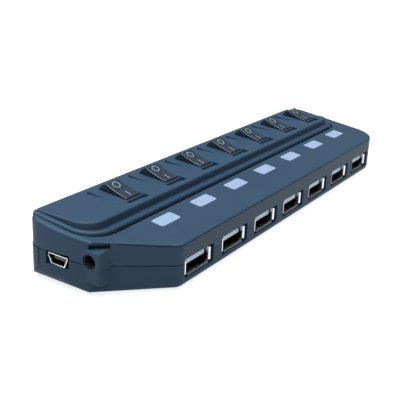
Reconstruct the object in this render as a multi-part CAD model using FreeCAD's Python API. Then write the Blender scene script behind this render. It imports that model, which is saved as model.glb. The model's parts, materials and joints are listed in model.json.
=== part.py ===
import FreeCAD, Part
import math
import os

# Seven-port USB hub with one rocker switch and one light window per port.
# Frame: +X runs along the row of ports, -Y is the port face, +Z is up.
# The origin is at the bottom centre of the hub, on the surface it stands on.

# ---- overall sizes -------------------------------------------------------
PORTS = 7
PITCH = 20.9              # spacing of ports, windows and switches
NEAR_END = 31.4           # first port to the end with the power inlet
FAR_END = 17.8            # last port to the plain end
DEPTH = 42.4
FOOT_DROP = 0.6           # how far the rubber feet stand below the case
DECK_RISE = 14.2          # case floor to deck, at the port face
DECK_SLOPE = 7.6          # degrees, the deck rises towards the back
PANEL_TOP = 20.3          # case floor to the flat top of the switch panel
SEAM_RISE = 7.4           # case floor to the parting line, at the port face
SEAM_SLOPE = 4.5          # degrees, the parting line climbs less than the deck

WALL = 1.6
FLOOR = 1.3
DECK_THICK = 1.6
SEAM_GAP = 0.3            # height of the shadow gap along the parting line
SEAM_GAP_DEPTH = 0.6
SEAM_STEP = 0.2           # the lower case stands this far proud at the inlet end and back

# ---- plan outline --------------------------------------------------------
CHAMFER = 19.1            # leg of the 45 degree corner at the power inlet
END_BOW = 1.9             # how far the inlet end bows out past that corner
BOW_SHAPE = 0.17          # the bow where it is fullest, as shares of its depth and run
BOW_PLACE = 0.45
CHAMFER_ROUND = 4.0       # between the chamfer and the port face
FAR_ROUND = 9.5           # far front corner
BACK_ROUND = 5.5
BOTTOM_ROUND = 1.5
END_BOTTOM_ROUND = 4.0    # bottom edge of the inlet end
END_BOTTOM_SET = 0.2      # that rounding starts this far in from the outermost end
SHOULDER_ROUND = 1.1      # top edge at the ends and the back
EDGE_ROUND = 0.35         # top edge at the port face and chamfer
EDGE_LINE_DROP = 0.7      # fine groove along the port face and chamfer, below the deck
EDGE_LINE_SIZE = 0.3

# ---- switch panel --------------------------------------------------------
PANEL_FRONT = 20.3        # port face to the panel's front edge
PANEL_NEAR = 27.0         # first port to the panel's near end
PANEL_FAR = 9.5           # last port to the panel's far end
PANEL_ROUND = 6.8
FAR_CORNER_SHARE = 0.6    # far front corner of the panel against the near one
PANEL_THICK = 2.4
PANEL_BACK_ROUND = 1.5
PANEL_EDGE_ROUND = 0.6
LEDGE = 2.2               # width of the rim around the panel
LEDGE_LIFT = 1.6          # rim's top above the deck, at the port face
LEDGE_SLOPE = 5.6         # degrees, the rim's top climbs less than the deck
LEDGE_SINK = 1.25         # panel's underside below the deck
LEDGE_ROUND = 0.9
END_SHARE = 0.65          # rim and groove are narrower at the inlet end
REVEAL = 1.1              # groove between rim and deck
OPENING_BACK_ROUND = 4.5
LIP = 1.3                 # inner lip of the upper case under the rim
LIP_JOIN = 0.25           # how far that lip runs under the deck
SEAT_GAP = 0.05

# ---- rocker switches -----------------------------------------------------
SWITCH_BACK = 31.8        # port face to the rocker's pivot
PIVOT_DROP = 2.5          # pivot below the panel top
ROCKER_HALF = 4.55        # half the length of the rocker's top
ROCKER_RISE = 4.36        # rocker's top above the pivot
ROCKER_WIDTH = 6.7
ROCKER_DISH = 0.3
ROCKER_CROWN_ROUND = 0.25
ROCKER_BELLY = 1.3        # rocker's underside below the pivot
ROCKER_SIDE_GAP = 0.18
ROCKER_END_GAP = 0.25
ROCKER_TILT = 19.0        # degrees to each side of level
PIN_RADIUS = 0.8
PIN_CLEARANCE = 0.05
PIN_REACH = 0.75          # pin beyond the rocker's side
STEM_SIZE = 1.8
STEM_REACH = 2.0
SWITCH_WALL = 0.9
SWITCH_HEIGHT = 10.0
SWITCH_FLOOR = 1.0
SWITCH_COVER = 1.4        # panel top to the switch body
PAD_LEFT = 7.5            # sloping pad around a rocker, from its centre
PAD_RIGHT = 3.95
PAD_FRONT = 22.4
PAD_BACK = 38.9
PAD_LEVEL = 30.2          # where the pad crosses the panel top
PAD_SLOPE = 4.6
TROUGH_LEFT = 4.7
TROUGH_LENGTH = 2.6
TROUGH_DEPTH = 0.5

# ---- light windows -------------------------------------------------------
WINDOW_LENGTH = 10.2
WINDOW_WIDTH = 4.95
WINDOW_BACK = 13.0        # port face to the window's centre
WINDOW_ROUND = 1.0
WINDOW_SINK = 0.1
WINDOW_GAP = 0.12
WINDOW_FLANGE = 0.8
WINDOW_FLANGE_THICK = 0.9
LEG_LENGTH = 3.0
LEG_WIDTH = 1.5
LEG_BACK = 15.9
LED_HEIGHT = 1.2
LED_GAP = 0.4

# ---- USB-A receptacles ---------------------------------------------------
CUTOUT_WIDTH = 16.0
CUTOUT_HEIGHT = 6.6
CUTOUT_RISE = 2.1         # case floor to the bottom of the cutout
CUTOUT_ROUND = 0.7
SHELL_WIDTH = 13.1
SHELL_HEIGHT = 5.7
SHELL_SHEET = 0.3
SHELL_ROUND = 0.6
SHELL_INNER_ROUND = 0.3
SHELL_LENGTH = 13.2
SHELL_SINK = 1.1          # mouth of the shell behind the port face
FLARE = 0.6               # length of each flared lip
FLARE_SIDE_ANGLE = 45.0   # lips at the two sides
FLARE_FLAT_ANGLE = 26.0   # lip below
FLARE_CORNER = 0.6        # lips stop this far from the shell's corners
EAR_REACH = 1.0           # ears of the shell that rest on the board
EAR_LENGTH = 3.0
EAR_BACK = 7.5
TONGUE_WIDTH = 11.1
TONGUE_THICK = 2.0
TONGUE_DROP = 0.6         # roof of the shell to the tongue
TONGUE_SETBACK = 0.9
TONGUE_ROUND = 0.25
BLOCK_LENGTH = 3.6        # plastic at the back of a receptacle
CONTACT_WIDTH = 1.0
CONTACT_THICK = 0.22
CONTACT_SETBACK = 0.5     # behind the tongue's nose
CONTACT_SPREAD = (-3.5, -1.0, 1.0, 3.5)

# ---- circuit board and its parts ----------------------------------------
BOARD_RISE = 5.5          # case floor to the underside of the board
BOARD_THICK = 1.2
BOARD_GAP = 0.6           # board to the case walls
NOTCH_GAP = 0.15
CHIP_SIZE = 7.0
CHIP_THICK = 1.0
CHIP_BACK = 25.2          # port face to the chips' middle
CHIP_GAPS = (1, 4)        # gaps between ports that hold a chip
CRYSTAL_WIDTH = 4.6
CRYSTAL_LENGTH = 11.0
CRYSTAL_HEIGHT = 3.5
CRYSTAL_ROUND = 1.8
CRYSTAL_BACK = 26.7
CRYSTAL_GAP = 2
CAN_RADIUS = 2.6
CAN_HEIGHT = 7.0
CAN_ROUND = 0.4
CAN_BACK = 27.2
CAN_GAPS = (0, 3, 5)
BLADE_WIDTH = 1.8         # switch terminals
BLADE_THICK = 0.5
BLADE_SPREAD = 4.0

# ---- mini USB inlet ------------------------------------------------------
MINI_BACK = 29.5          # port face to the middle of the inlet
MINI_WIDTH = 7.7
MINI_HEIGHT = 3.4
MINI_TAPER = 1.2
MINI_KNEE = 0.8           # share of the height where the sides start to lean in
MINI_SHEET = 0.25
MINI_LENGTH = 9.2
MINI_SINK = 0.5
MINI_CUT_WIDTH = 8.5
MINI_CUT_HEIGHT = 4.3
MINI_CUT_DROP = 0.25      # cutout below the inlet's shell
MINI_TONGUE_WIDTH = 4.6
MINI_TONGUE_THICK = 0.95
MINI_TONGUE_LEVEL = 0.56  # share of the height
MINI_TONGUE_SETBACK = 1.0
MINI_BLOCK_LENGTH = 2.6
PANEL_LINE_NEAR = 22.0    # fine upright lines beside the inlet
PANEL_LINE_FAR = 36.7
PANEL_LINE_SIZE = 0.35
PANEL_LINE_HEIGHT = 5.4

# ---- power inlet ---------------------------------------------------------
JACK_BACK = 18.4          # port face to the hole's centre
JACK_RISE = 10.6          # case floor to the hole's centre
JACK_NOSE = 2.35          # collar of the jack, in the hole of the case
JACK_NOSE_SINK = 0.5      # collar behind the block's face
JACK_BORE = 2.1
JACK_PIN = 0.65
JACK_PIN_SINK = 2.6
JACK_PIN_ROUND = 0.3
JACK_BODY_WIDTH = 6.0
JACK_BODY_LENGTH = 11.0
JACK_BODY_TOP = 2.8       # above the hole's centre
JACK_BACK_WALL = 2.2
JACK_PIN_TAIL = 0.2       # pin's end short of the jack's back
SPRING_BACK = 3.0
SPRING_LENGTH = 5.0
SPRING_WIDTH = 1.6
SPRING_THICK = 0.3
SPRING_LIFT = 0.2         # spring above the wall of the bore
BLOCK_FACE = 1.6          # inlet block's face behind the outermost end
BLOCK_SIDE = 14.5         # port face to the block's side
BLOCK_BOTTOM = 3.8
BLOCK_TOP = 14.2
BLOCK_ROUND = 0.5
HOOD_SLOT = 1.5           # slot between the block and the deck
HOOD_DEPTH = 1.1
BLOCK_WALL = 1.4

# ---- fasteners and feet --------------------------------------------------
SCREW_NEAR = 11.6         # near screws, outside the first port
SCREW_NEAR_FRONT = 9.5    # near front screw behind the port face
SCREW_FAR = 11.8          # far front screw, outside the last port
SCREW_FAR_FRONT = 12.0    # far front screw behind the port face
SCREW_FAR_BACK = 7.5      # far rear screw, outside the last port
SCREW_BACK = 6.0          # rear screws ahead of the back
SCREW_RADIUS = 1.25
SCREW_HEAD = 2.3
SCREW_HEAD_THICK = 1.3
SCREW_CROSS = 2.8         # recess in the head: length, width, depth
SCREW_CROSS_WIDTH = 0.5
SCREW_CROSS_DEPTH = 0.6
SCREW_LENGTH = 8.5
BOSS_RADIUS = 2.9
BOSS_FLANGE = 0.7         # lower boss wider than the post on it
SCREW_GAP = 0.1
FOOT_RADIUS = 4.0
FOOT_THICK = 1.0
FOOT_ROUND = 0.2
FOOT_INSET_X = 32.0
FOOT_INSET_Y = 9.5

# ---- derived places ------------------------------------------------------
ROW = PITCH * (PORTS - 1)
LENGTH = NEAR_END + ROW + FAR_END
X_NEAR = -LENGTH / 2
X_FAR = LENGTH / 2
Y_FRONT = -DEPTH / 2
Y_BACK = DEPTH / 2
Z_CASE = FOOT_DROP
Z_PANEL = Z_CASE + PANEL_TOP
PORT_X = [X_NEAR + NEAR_END + PITCH * i for i in range(PORTS)]
RISE = math.tan(math.radians(DECK_SLOPE))
Z_DECK = Z_CASE + DECK_RISE
Z_SEAM = Z_CASE + SEAM_RISE
SEAM_CLIMB = math.tan(math.radians(SEAM_SLOPE))
Z_BOARD = Z_CASE + BOARD_RISE + BOARD_THICK
Y_PIVOT = Y_FRONT + SWITCH_BACK
Z_PIVOT = Z_PANEL - PIVOT_DROP
ROCKER_RADIUS = math.hypot(ROCKER_HALF, ROCKER_RISE)
SLOT_WIDTH = ROCKER_WIDTH + 2 * ROCKER_SIDE_GAP
Z_PORT = Z_CASE + CUTOUT_RISE + CUTOUT_HEIGHT / 2
Z_JACK = Z_CASE + JACK_RISE
Y_JACK = Y_FRONT + JACK_BACK
Y_MINI = Y_FRONT + MINI_BACK
X_BLOCK = X_NEAR + BLOCK_FACE
X_JACK = X_BLOCK + BLOCK_WALL + SEAT_GAP
Y_TONGUE = Y_FRONT + SHELL_SINK + TONGUE_SETBACK
Y_INSERT = Y_FRONT + SHELL_SINK + SHELL_LENGTH - SHELL_SHEET - SEAT_GAP
BIG = 400.0

NODES = {}


def V(x, y, z=0.0):
    return FreeCAD.Vector(x, y, z)


def box(x0, x1, y0, y1, z0, z1):
    return Part.makeBox(x1 - x0, y1 - y0, z1 - z0, V(x0, y0, z0))


def slab(height_at_front, thick=BIG, slope=DECK_SLOPE):
    """Everything from a sloping plane upwards, thick high; the slope is the deck's unless given."""
    run = BIG * math.cos(math.radians(slope))
    climb = BIG * math.sin(math.radians(slope))
    low = V(-BIG / 2, Y_FRONT - run / 2, height_at_front - climb / 2)
    high = V(-BIG / 2, Y_FRONT + run / 2, height_at_front + climb / 2)
    up = V(0, 0, thick)
    wire = Part.makePolygon([low, high, high + up, low + up, low])
    return Part.Face(wire).extrude(V(BIG, 0, 0))


def above_seam(lift=0.0, thick=BIG):
    return slab(Z_SEAM + lift, thick, SEAM_SLOPE)


def deck_height(y):
    return Z_DECK + (y - Y_FRONT) * RISE


def rounded(points, radii):
    """Closed wire through the points, each corner rounded by its radius."""
    count = len(points)
    ends = []
    for i in range(count):
        here = points[i]
        back = (points[i - 1] - here).normalize()
        ahead = (points[(i + 1) % count] - here).normalize()
        turn = back.getAngle(ahead)
        reach = radii[i] / math.tan(turn / 2) if radii[i] else 0.0
        ends.append((here + back * reach, here, here + ahead * reach, back, ahead, radii[i]))
    edges = []
    for i in range(count):
        start, corner, stop, back, ahead, radius = ends[i]
        if radius:
            middle_way = (back + ahead).normalize()
            half = back.getAngle(ahead) / 2
            middle = corner + middle_way * (radius / math.sin(half) - radius)
            edges.append(Part.Arc(start, middle, stop).toShape())
        following = ends[(i + 1) % count][0]
        if (following - stop).Length > 1e-6:
            edges.append(Part.makeLine(stop, following))
    return Part.Wire(edges)


def prism(wire, z0, z1):
    face = Part.Face(wire)
    face.translate(V(0, 0, z0))
    return face.extrude(V(0, 0, z1 - z0))


def case_wire(grow=0.0, step=0.0):
    """Plan outline of the case, grown outwards by grow; step holds back the inlet end and the back."""
    corner = V(X_NEAR + END_BOW + step, Y_FRONT + CHAMFER - step)
    front = V(X_NEAR + END_BOW + CHAMFER, Y_FRONT)
    bow_middle = V(X_NEAR + END_BOW * BOW_SHAPE + step,
                   Y_FRONT + CHAMFER + (DEPTH - BACK_ROUND - CHAMFER) * BOW_PLACE)
    lead = CHAMFER_ROUND * math.tan(math.radians(22.5))
    lean = V(-1, 1).normalize()
    face_start = front + V(lead, 0)
    slope_start = front + lean * lead
    round_middle = face_start + V(-math.sin(math.radians(22.5)),
                                  1 - math.cos(math.radians(22.5))) * CHAMFER_ROUND
    diagonal = math.sqrt(0.5)
    back_round = BACK_ROUND - step
    far_centre = V(X_FAR - FAR_ROUND, Y_FRONT + FAR_ROUND)
    back_far = V(X_FAR - back_round, Y_BACK - BACK_ROUND)
    back_near = V(X_NEAR + BACK_ROUND, Y_BACK - BACK_ROUND)
    bow_end = V(X_NEAR + step, back_near.y)
    edges = [
        Part.Arc(slope_start, round_middle, face_start).toShape(),
        Part.makeLine(face_start, V(far_centre.x, Y_FRONT)),
        Part.Arc(V(far_centre.x, Y_FRONT),
                 far_centre + V(diagonal, -diagonal) * FAR_ROUND,
                 V(X_FAR, far_centre.y)).toShape(),
        Part.makeLine(V(X_FAR, far_centre.y), V(X_FAR, back_far.y)),
        Part.Arc(V(X_FAR, back_far.y), back_far + V(diagonal, diagonal) * back_round,
                 V(back_far.x, Y_BACK - step)).toShape(),
        Part.makeLine(V(back_far.x, Y_BACK - step), V(back_near.x, Y_BACK - step)),
        Part.Arc(V(back_near.x, Y_BACK - step), back_near + V(-diagonal, diagonal) * back_round,
                 bow_end).toShape(),
        Part.Arc(bow_end, bow_middle, corner).toShape(),
        Part.makeLine(corner, slope_start),
    ]
    wire = Part.Wire(edges)
    if grow:
        wire = wire.makeOffset2D(grow, 0)
    return wire


def panel_wire(grow, back, back_round):
    """Rounded outline round the switch panel."""
    x0 = PORT_X[0] - PANEL_NEAR - (grow * END_SHARE if grow > 0 else grow)
    x1 = PORT_X[-1] + PANEL_FAR + grow
    y0 = Y_FRONT + PANEL_FRONT - grow
    corners = [V(x0, y0), V(x1, y0), V(x1, back), V(x0, back)]
    return rounded(corners, [PANEL_ROUND + grow, PANEL_ROUND * FAR_CORNER_SHARE + grow, back_round, back_round])


def front_box(x0, x1, y0, y1, z0, z1, radius):
    """Box whose four edges along Y are rounded."""
    solid = box(x0, x1, y0, y1, z0, z1)
    along = [e for e in solid.Edges if abs(e.tangentAt(e.FirstParameter).y) > 0.9]
    return solid.makeFillet(radius, along)


def side_prism(points, x0, x1):
    """Solid with a profile of (y, z) points, from x0 to x1."""
    loop = [V(x0, y, z) for y, z in points]
    face = Part.Face(Part.makePolygon(loop + loop[:1]))
    return face.extrude(V(x1 - x0, 0, 0))


def rod_x(x0, x1, y, z, radius):
    return Part.makeCylinder(radius, x1 - x0, V(x0, y, z), V(1, 0, 0))


def rod_z(x, y, z0, z1, radius):
    return Part.makeCylinder(radius, z1 - z0, V(x, y, z0))


def fused(shapes):
    result = shapes[0]
    if len(shapes) > 1:
        result = result.multiFuse(shapes[1:])
    return result.removeSplitter()


def port_cutout(x):
    return front_box(x - CUTOUT_WIDTH / 2, x + CUTOUT_WIDTH / 2, Y_FRONT - 1, Y_FRONT + WALL + 2,
                     Z_PORT - CUTOUT_HEIGHT / 2, Z_PORT + CUTOUT_HEIGHT / 2, CUTOUT_ROUND)


def mini_cutout():
    z0 = Z_BOARD - MINI_CUT_DROP
    return box(X_NEAR - 1, X_NEAR + WALL + 2, Y_MINI - MINI_CUT_WIDTH / 2, Y_MINI + MINI_CUT_WIDTH / 2,
               z0, z0 + MINI_CUT_HEIGHT)


def block_end():
    """Where the inlet block meets the inside of the chamfered wall."""
    return X_NEAR + END_BOW + CHAMFER - BLOCK_SIDE + WALL


def inlet_block():
    z0 = Z_CASE + BLOCK_BOTTOM
    z1 = Z_CASE + BLOCK_TOP
    side = Y_FRONT + BLOCK_SIDE
    solid = box(X_BLOCK, block_end(), side, Y_FRONT + CHAMFER + WALL, z0, z1)
    corner = [e for e in solid.Edges if e.BoundBox.XMax < X_BLOCK + 0.01
              and (e.BoundBox.YMax < side + 0.01 or e.BoundBox.ZLength < 0.01)]
    return solid.makeFillet(BLOCK_ROUND, corner)


def jack_room(gap):
    half = JACK_BODY_WIDTH / 2 + gap
    return box(X_JACK - gap, X_JACK + JACK_BODY_LENGTH + gap, Y_JACK - half, Y_JACK + half,
               Z_BOARD, Z_JACK + JACK_BODY_TOP + gap)


def screw_places():
    """Two screws into the upper case, then two into the switch panel."""
    near = PORT_X[0] - SCREW_NEAR
    back = Y_BACK - SCREW_BACK
    return [(near, Y_FRONT + SCREW_NEAR_FRONT), (PORT_X[-1] + SCREW_FAR, Y_FRONT + SCREW_FAR_FRONT),
            (near, back), (PORT_X[-1] + SCREW_FAR_BACK, back)]


def case_body(step):
    """Closed outer form of the case, with its rounded edges."""
    solid = prism(case_wire(0.0, step), Z_CASE, Z_CASE + BIG / 4).cut(slab(Z_DECK))
    bottom = [e for e in solid.Edges if e.BoundBox.ZMax < Z_CASE + 0.01]
    solid = solid.makeFillet(BOTTOM_ROUND, bottom)
    corner = []
    for edge in solid.Edges:
        on_deck = all(abs(v.Z - deck_height(v.Y)) < 1e-4 for v in edge.Vertexes)
        if on_deck and edge.BoundBox.XMin > X_FAR - FAR_ROUND - 1 and edge.BoundBox.YMin < Y_FRONT + 1:
            corner.append(edge)
    # The deck's edge is crisp along the ports and softens round the far corner.
    return solid.makeFillet(EDGE_ROUND, SHOULDER_ROUND, corner)


def end_rounding():
    """What the soft bottom edge of the inlet end takes away."""
    size = END_BOTTOM_ROUND
    x0 = X_NEAR + END_BOTTOM_SET
    roll = Part.makeCylinder(size, DEPTH + 2, V(x0 + size, Y_FRONT - 1, Z_CASE + size), V(0, 1, 0))
    return box(X_NEAR - 1, x0 + size, Y_FRONT - 1, Y_BACK + 1, Z_CASE - 1, Z_CASE + size).cut(roll)


def room():
    """Hollow inside the case."""
    inner = case_wire(-SEAM_STEP - WALL)
    return prism(inner, Z_CASE + FLOOR, Z_CASE + BIG / 4).cut(slab(Z_DECK - DECK_THICK))


def window_wire(x, grow):
    x0 = x - WINDOW_LENGTH / 2 - grow
    x1 = x + WINDOW_LENGTH / 2 + grow
    y0 = Y_FRONT + WINDOW_BACK - WINDOW_WIDTH / 2 - grow
    y1 = Y_FRONT + WINDOW_BACK + WINDOW_WIDTH / 2 + grow
    return rounded([V(x0, y0), V(x1, y0), V(x1, y1), V(x0, y1)], [WINDOW_ROUND + grow] * 4)


def build_lower_case():
    solid = case_body(0.0).cut([above_seam(), room(), end_rounding()])
    lower_block = inlet_block().cut(above_seam())
    bosses = []
    for x, y in screw_places():
        bosses.append(rod_z(x, y, Z_CASE + FLOOR / 2, Z_CASE + FLOOR + SCREW_HEAD_THICK,
                            BOSS_RADIUS + BOSS_FLANGE))
    solid = fused([solid, lower_block] + bosses)
    cuts = [port_cutout(x) for x in PORT_X]
    cuts.append(mini_cutout())
    cuts.append(jack_room(SEAT_GAP))
    cuts.append(rod_x(X_BLOCK - 1, X_BLOCK + BLOCK_WALL + 1, Y_JACK, Z_JACK, JACK_NOSE + SEAT_GAP))
    for x, y in screw_places():
        cuts.append(rod_z(x, y, Z_CASE - 1, Z_CASE + SCREW_HEAD_THICK + SCREW_GAP, SCREW_HEAD + SCREW_GAP))
        cuts.append(rod_z(x, y, Z_CASE, Z_CASE + BIG / 8, SCREW_RADIUS + SCREW_GAP))
    for x, y in foot_places():
        cuts.append(rod_z(x, y, Z_CASE - 1, FOOT_THICK, FOOT_RADIUS + SEAT_GAP))
    for back in (PANEL_LINE_NEAR, PANEL_LINE_FAR):
        y = Y_FRONT + back
        top = Z_SEAM + back * SEAM_CLIMB
        half = PANEL_LINE_SIZE / 2
        groove = box(X_NEAR - 1, X_NEAR + 1, y - half, y + half, top - PANEL_LINE_HEIGHT, top + 1)
        cuts.append(groove.cut(prism(case_wire(-PANEL_LINE_SIZE), Z_CASE, Z_PANEL)))
    return solid.cut(cuts)


def foot_places():
    x = LENGTH / 2 - FOOT_INSET_X
    y = DEPTH / 2 - FOOT_INSET_Y
    return [(sx * x, sy * y) for sx in (-1, 1) for sy in (-1, 1)]


def opening(grow):
    return panel_wire(LEDGE + REVEAL + grow, Y_BACK - SEAM_STEP - WALL + grow, OPENING_BACK_ROUND)


def seam_groove():
    """Shadow gap along the parting line; the port face has none."""
    ring = prism(case_wire(1.0), Z_CASE, Z_PANEL)
    ring = ring.cut(prism(case_wire(-SEAM_STEP - SEAM_GAP_DEPTH), Z_CASE - 1, Z_PANEL + 1))
    face = box(X_NEAR + END_BOW + CHAMFER + CHAMFER_ROUND / 2, X_FAR - FAR_ROUND, Y_FRONT - 1, Y_FRONT + 2,
               Z_CASE, Z_PANEL)
    return ring.common(above_seam(-1, SEAM_GAP + 1)).cut(face)


def edge_groove():
    """Fine line just under the deck, along the port face and the chamfer."""
    ring = prism(case_wire(1.0), Z_CASE, Z_PANEL)
    ring = ring.cut(prism(case_wire(-EDGE_LINE_SIZE), Z_CASE - 1, Z_PANEL + 1))
    along = box(X_NEAR, X_FAR - FAR_ROUND / 2, Y_FRONT - 1, Y_FRONT + BLOCK_SIDE - HOOD_SLOT, Z_CASE, Z_PANEL)
    return ring.common(slab(Z_DECK - EDGE_LINE_DROP, EDGE_LINE_SIZE)).common(along)


def build_upper_case():
    solid = case_body(SEAM_STEP).common(above_seam())
    solid = solid.cut([room(), seam_groove(), edge_groove()])
    block = inlet_block().common(above_seam(SEAM_GAP / 3))
    seat = Z_DECK - LEDGE_SINK - SEAT_GAP
    lip = prism(opening(LIP_JOIN), Z_CASE, Z_PANEL + 9)
    lip = lip.cut(prism(panel_wire(LEDGE - LIP, Y_BACK, OPENING_BACK_ROUND), Z_CASE - 1, Z_PANEL + 10))
    lip = lip.common(slab(seat - LIP, LIP))
    lip = lip.common(prism(case_wire(-SEAM_STEP - WALL / 2), Z_CASE, Z_PANEL + 9))
    lip = lip.cut([rod_z(x, y, Z_CASE, Z_PANEL, BOSS_RADIUS + BOARD_GAP / 2) for x, y in screw_places()[2:]])
    posts = []
    for x, y in screw_places()[:2]:
        posts.append(rod_z(x, y, post_foot(), deck_height(y) - DECK_THICK / 2, BOSS_RADIUS))
    # The switch panel runs out over the back wall, so the opening does too.
    notch = prism(panel_wire(LEDGE + REVEAL, Y_BACK + 9, 1.0), Z_CASE, Z_PANEL + 9).common(slab(seat))
    solid = solid.cut([prism(opening(0.0), Z_CASE + FLOOR, Z_PANEL + 9), notch])
    solid = fused([solid, block, lip] + posts)
    cuts = [port_cutout(x) for x in PORT_X]
    cuts.append(mini_cutout())
    cuts.append(jack_room(SEAT_GAP))
    cuts.append(rod_x(X_BLOCK - 1, X_BLOCK + BLOCK_WALL + 1, Y_JACK, Z_JACK, JACK_NOSE + SEAT_GAP))
    cuts.append(hood_slot())
    for x in PORT_X:
        cuts.append(prism(window_wire(x, 0.0), Z_DECK - 2 * DECK_THICK, Z_PANEL + 5))
    for x, y in screw_places()[:2]:
        cuts.append(rod_z(x, y, Z_CASE, post_foot() + SCREW_LENGTH, SCREW_RADIUS + SCREW_GAP / 2))
    return solid.cut(cuts)


def post_foot():
    return Z_CASE + FLOOR + SCREW_HEAD_THICK + SEAT_GAP


def hood_slot():
    z0 = Z_CASE + BLOCK_TOP
    ring = prism(case_wire(1.0), z0, z0 + HOOD_SLOT)
    ring = ring.cut(prism(case_wire(-SEAM_STEP - HOOD_DEPTH), z0 - 1, z0 + HOOD_SLOT + 1))
    return ring.common(box(X_NEAR - 1, X_NEAR + CHAMFER, Y_FRONT + BLOCK_SIDE, Y_FRONT + CHAMFER,
                           z0 - 1, z0 + HOOD_SLOT + 1))


def pad_height(back):
    return Z_PANEL + (back - PAD_LEVEL) * math.tan(math.radians(PAD_SLOPE))


def switch_pad(x):
    """Sloping pad round one rocker: what is added and what is cut away."""
    y0 = Y_FRONT + PAD_FRONT
    y1 = Y_FRONT + PAD_BACK
    middle = Y_FRONT + PAD_LEVEL
    raised = side_prism([(middle, Z_PANEL), (y1, pad_height(PAD_BACK)), (y1, Z_PANEL - 1), (middle, Z_PANEL - 1)],
                        x - PAD_LEFT, x + PAD_RIGHT)
    sunk = side_prism([(middle, Z_PANEL), (y0, pad_height(PAD_FRONT)), (y0, Z_PANEL + 1), (middle, Z_PANEL + 1)],
                      x - PAD_LEFT, x + PAD_RIGHT)
    trough = box(x - TROUGH_LEFT, x + PAD_RIGHT, y0, y0 + TROUGH_LENGTH,
                 pad_height(PAD_FRONT) - TROUGH_DEPTH, Z_PANEL + 1)
    return raised, [sunk, trough]


def build_switch_panel():
    back = Y_BACK - SEAM_STEP
    top = prism(panel_wire(0.0, back, PANEL_BACK_ROUND), Z_DECK - 3, Z_PANEL)
    crown = [e for e in top.Edges if e.BoundBox.ZMin > Z_PANEL - 0.01]
    top = top.makeFillet(PANEL_EDGE_ROUND, crown)
    rim = prism(panel_wire(LEDGE, Y_BACK + 9, 1.0), Z_DECK - 3, Z_PANEL + 9)
    rim = rim.cut(slab(Z_DECK + LEDGE_LIFT, BIG, LEDGE_SLOPE))
    climb = math.tan(math.radians(LEDGE_SLOPE))
    brim = [e for e in rim.Edges
            if all(abs(v.Z - Z_DECK - LEDGE_LIFT - (v.Y - Y_FRONT) * climb) < 1e-4 for v in e.Vertexes)]
    rim = rim.makeFillet(LEDGE_ROUND, brim).common(prism(case_wire(0.0, SEAM_STEP), Z_CASE, Z_PANEL + 9))
    solid = fused([top, rim])
    solid = solid.common(slab(Z_DECK - LEDGE_SINK))
    inner = prism(panel_wire(-WALL, back - WALL, OPENING_BACK_ROUND), Z_CASE, Z_PANEL - PANEL_THICK)
    solid = solid.cut(inner)
    pads = []
    cuts = []
    for x in PORT_X:
        raised, sunk = switch_pad(x)
        pads.append(raised)
        cuts += sunk
        half = SLOT_WIDTH / 2
        cuts.append(rod_x(x - half, x + half, Y_PIVOT, Z_PIVOT, ROCKER_RADIUS + ROCKER_END_GAP))
        cuts.append(switch_envelope(x, SEAT_GAP))
    posts = []
    holes = []
    for x, y in screw_places()[2:]:
        posts.append(rod_z(x, y, post_foot(), Z_PANEL - PANEL_THICK / 2, BOSS_RADIUS))
        holes.append(rod_z(x, y, Z_CASE, post_foot() + SCREW_LENGTH, SCREW_RADIUS + SCREW_GAP / 2))
    return fused([solid] + pads + posts).cut(cuts + holes)


def switch_envelope(x, gap):
    half_x = SLOT_WIDTH / 2 + SWITCH_WALL + gap
    half_y = ROCKER_RADIUS + ROCKER_END_GAP + SWITCH_WALL + gap
    top = Z_PANEL - SWITCH_COVER
    return box(x - half_x, x + half_x, Y_PIVOT - half_y, Y_PIVOT + half_y, top - SWITCH_HEIGHT, top + gap)


def build_switch_body(x):
    solid = switch_envelope(x, 0.0)
    half_y = ROCKER_RADIUS + ROCKER_END_GAP
    top = Z_PANEL - SWITCH_COVER
    hollow = box(x - SLOT_WIDTH / 2, x + SLOT_WIDTH / 2, Y_PIVOT - half_y, Y_PIVOT + half_y,
                 top - SWITCH_HEIGHT + SWITCH_FLOOR, top + 1)
    reach = ROCKER_WIDTH / 2 + PIN_REACH + PIN_CLEARANCE
    bearing = rod_x(x - reach, x + reach, Y_PIVOT, Z_PIVOT, PIN_RADIUS + PIN_CLEARANCE)
    return solid.cut([hollow, bearing])


def build_rocker(x):
    """Rocker with its two pivot pins, tipped to the pressed position."""
    top = math.atan2(ROCKER_RISE, ROCKER_HALF)
    low = -math.asin(ROCKER_BELLY / ROCKER_RADIUS)

    def rim(angle, side):
        return V(0, side * ROCKER_RADIUS * math.cos(angle), ROCKER_RADIUS * math.sin(angle))

    edges = [
        Part.Arc(rim(top, -1), V(0, 0, ROCKER_RISE - ROCKER_DISH), rim(top, 1)).toShape(),
        Part.Arc(rim(top, 1), rim((top + low) / 2, 1), rim(low, 1)).toShape(),
        Part.makeLine(rim(low, 1), rim(low, -1)),
        Part.Arc(rim(low, -1), rim((top + low) / 2, -1), rim(top, -1)).toShape(),
    ]
    face = Part.Face(Part.Wire(edges))
    face.translate(V(-ROCKER_WIDTH / 2, 0, 0))
    body = face.extrude(V(ROCKER_WIDTH, 0, 0))
    crown = [e for e in body.Edges if e.BoundBox.ZMin > ROCKER_RISE - 2 * ROCKER_DISH]
    body = body.makeFillet(ROCKER_CROWN_ROUND, crown)
    reach = ROCKER_WIDTH / 2 + PIN_REACH
    pins = rod_x(-reach, reach, 0, 0, PIN_RADIUS)
    half = STEM_SIZE / 2
    stem = box(-half, half, -half, half, -ROCKER_BELLY - STEM_REACH, 0)
    solid = fused([body, pins, stem])
    solid.rotate(V(0, 0, 0), V(1, 0, 0), ROCKER_TILT)
    solid.translate(V(x, Y_PIVOT, Z_PIVOT))
    return solid


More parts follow.
